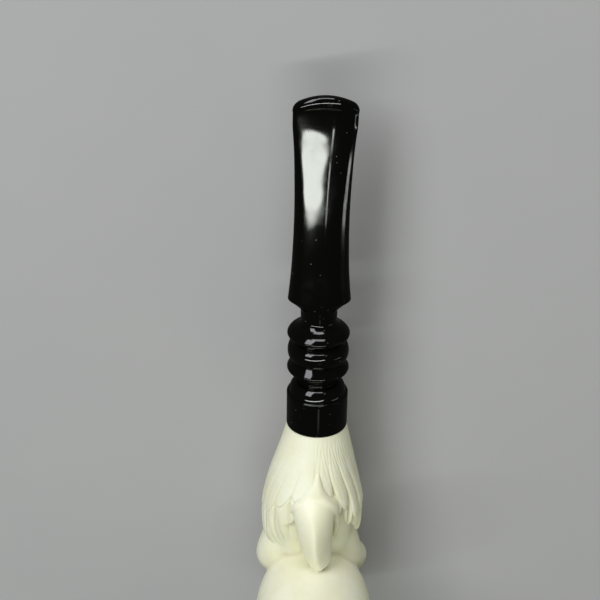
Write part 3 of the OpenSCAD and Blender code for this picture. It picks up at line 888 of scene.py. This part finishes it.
# Rows of the bit: place, half width, half thickness, squareness and bow.
blade_rows = through([
    [shoulder - 3.3, neck_r, neck_r, 2, 0],
    [shoulder - 2.8, neck_r + 0.06, neck_r, 2, 0],
    [shoulder - 2.1, neck_r + 0.5, neck_r + 0.06, 2.02, 0],
    [shoulder - 0.9, joint_r - 1.35, 4.9, 2.05, 0],
    [shoulder - 0.2, joint_r - 0.3, 4.98, 2.1, 0]], 6).tolist()
blade_rows += [[shoulder - 0.07, joint_r - 0.14, shoulder_half, 2.1, 0],
               [shoulder + 0.05, joint_r - 0.07, shoulder_half, 2.1, 0]]
blade_rows += through([
    [shoulder + 0.2, joint_r - 0.08, shoulder_half, 2.1, 0],
    [shoulder + bit_len * 0.04, 7.72, thick(0.03), 2.1, 0],
    [shoulder + bit_len * 0.145, narrow(0.42), thick(0.1245), 2.1, 0],
    [shoulder + bit_len * 0.27, narrow(0.15), thick(0.2555), 2.1, 0],
    [shoulder + bit_len * 0.37, waist * 1.006, thick(0.3805), 2.1, 0],
    [shoulder + bit_len * 0.47, waist, thick(0.5205), 2.12, 0],
    [shoulder + bit_len * 0.59, widen(0.11), thick(0.6945), 2.14, 0],
    [shoulder + bit_len * 0.71, widen(0.32), thick(0.8445), 2.16, 0],
    [shoulder + bit_len * 0.79, widen(0.56), thick(0.934), 2.18, bow * 0.08],
    [shoulder + bit_len * 0.865, widen(0.86), thick(0.996), 2.2, bow * 0.25],
    [stem_len - 3.2, button - 0.08, bite, 2.2, bow * 0.48],
    [stem_len - 2.7, button, bite + 0.15, 2.2, bow * 0.56],
    [stem_len - 2.2, button, crest - 0.2, 2.1, bow * 0.66],
    [stem_len - 1.5, button - 0.05, crest, 2.05, bow * 0.8],
    [stem_len - 0.8, button - 0.25, crest - 0.1, 2.05, bow * 0.92],
    [stem_len - 0.25, button - 0.65, crest - 0.5, 2.05, bow],
    [stem_len, button - 1.3, crest - 1.1, 2.05, bow]], 8).tolist()
slot = [[stem_len, 4.3, 1.15, 2.2, bow], [stem_len - 0.2, 4.05, 0.95, 2.2, bow],
        [stem_len - 1.2, 3.8, 0.9, 2.2, bow], [stem_len - 5, 2.5, 1.0, 2.1, 0],
        [stem_len - 9, airway_r, 1.2, 2, 0], [stem_len - 11, airway_r, airway_r, 2, 0],
        [socket_len, airway_r, airway_r, 2, 0], [socket_len, socket_r, socket_r, 2, 0],
        [face_y + 0.1, socket_r, socket_r, 2, 0], [face_y, socket_r + 0.1, socket_r + 0.1, 2, 0]]
bit_rows = []
for row in blade_rows + slot:
    leant = bit_lean * max(0, (row[0] - shoulder) / bit_len) ** 1.5
    tilted = end_tilt * ease((row[0] - stem_len + 2.6) / 2.4)
    bit_rows.append(row + [0, leant, tilted])
stem = turn_piece("stem_black", round_rows(turning) + bit_rows, 128, acrylic, bow_width=button)
stem.data.set_sharp_from_angle(angle=math.radians(40))
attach(stem, "stem")
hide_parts("stem")

# Studio: a plain pale floor under the pipe, soft window light from the upper left and from above,
# narrow panes that the bit mirrors, and a weak fill from the right.
# The camera looks down on the pipe from its mouth end, along the stem.
floor_mesh = bpy.data.meshes.new("floor")
lowest = cad_low[2]
half = 3
corners = [(-half, -half, lowest), (half, -half, lowest), (half, half, lowest), (-half, half, lowest)]
floor_mesh.from_pydata(corners, [], [(0, 1, 2, 3)])
floor = stand("floor", floor_mesh)
paper, shader, place = finish("pale_paper")
haze = place.noise(30.0, 2.0)
wire_up(shader, Base_Color=haze.blend((0.41, 0.41, 0.41, 1), (0.43, 0.43, 0.425, 1)))
shader.inputs["Roughness"].default_value = 0.9
floor_mesh.materials.append(paper)
floor.visible_glossy = False
floor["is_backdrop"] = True


lamp_distance = 1.2
per_degree = 0.0209


def lamp(name, direction, width, height, power, tint=(1, 1, 1), lean=0.0):
    """Area lamp at a fixed distance in one direction from the middle of the pipe, facing it."""
    light = bpy.data.lights.new(name, "AREA")
    light.shape = "RECTANGLE"
    light.size, light.size_y, light.energy, light.color = width, height, power, tint
    piece = bpy.data.objects.new(name, light)
    target = Vector((0, 0.12, -0.03))
    back = Vector(direction).normalized()
    across = Vector((0, 1, 0)).cross(back).normalized()
    facing = Matrix((across, back.cross(across), back)).transposed().to_4x4()
    leant = facing @ Matrix.Rotation(math.radians(lean), 4, "Z")
    piece.matrix_world = Matrix.Translation(target + back * lamp_distance) @ leant
    bpy.context.scene.collection.objects.link(piece)
    return piece


def pane(name, turn, drop, wide, high, power, lean):
    """A strip of window behind the camera, placed by the angles at which the bit mirrors it."""
    t, p = math.radians(turn), math.radians(drop)
    direction = (math.sin(t) * math.cos(p), math.sin(p), math.cos(t) * math.cos(p))
    lamp(name, direction, per_degree * wide, per_degree * high, power, (0.95, 1.0, 0.93), lean)


pane("window", -11.5, -13.0, 80, 2.6, 5.8, 6.7)
pane("window_gap", 8.3, -13.7, 1.6, 2.2, 0.05, 0)
pane("ferrule_streak", 5.5, -33.0, 5, 6, 0.02, 0)
pane("side_window", 73, -19.9, 30, 0.5, 0.16, -3.7)
daylight = (1.0, 1.0, 1.05)
lamp("key_wide", (-0.5, 0.6, 0.63), 0.5, 1.0, 9.5, daylight)
lamp("key_narrow", (0.0, 0.93, 0.36), 0.7, 0.5, 6.0, daylight)
lamp("right_spot", (0.45, 0.62, 0.65), 0.07, 0.05, 0.16)
fill = lamp("right_fill", (0.85, 0.3, 0.43), 1.0, 1.0, 1.9, (1.0, 0.97, 0.85))
fill.visible_glossy = False
world = bpy.data.worlds.new("room")
bpy.context.scene.world = world
world.use_nodes = True
world.node_tree.nodes["Background"].inputs["Color"].default_value = (0.04, 0.04, 0.038, 1)

camera = bpy.data.cameras.new("camera")
camera.sensor_width = 36.0
camera.lens = 68.28
eye = bpy.data.objects.new("camera", camera)
roll = math.radians(0.8)
right, up, back = Vector((1, 0, 0)), Vector((0, 0.891, -0.454)), Vector((0, 0.454, 0.891))
across = right * math.cos(roll) + up * math.sin(roll)
upward = up * math.cos(roll) - right * math.sin(roll)
aim = Matrix((across, upward, back)).transposed().to_4x4()
eye.matrix_world = Matrix.Translation((-0.00486, 0.22049, 0.21893)) @ aim
camera.clip_start = 0.01
bpy.context.scene.collection.objects.link(eye)
bpy.context.scene.camera = eye
bpy.context.scene.view_settings.view_transform = "Standard"

low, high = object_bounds()
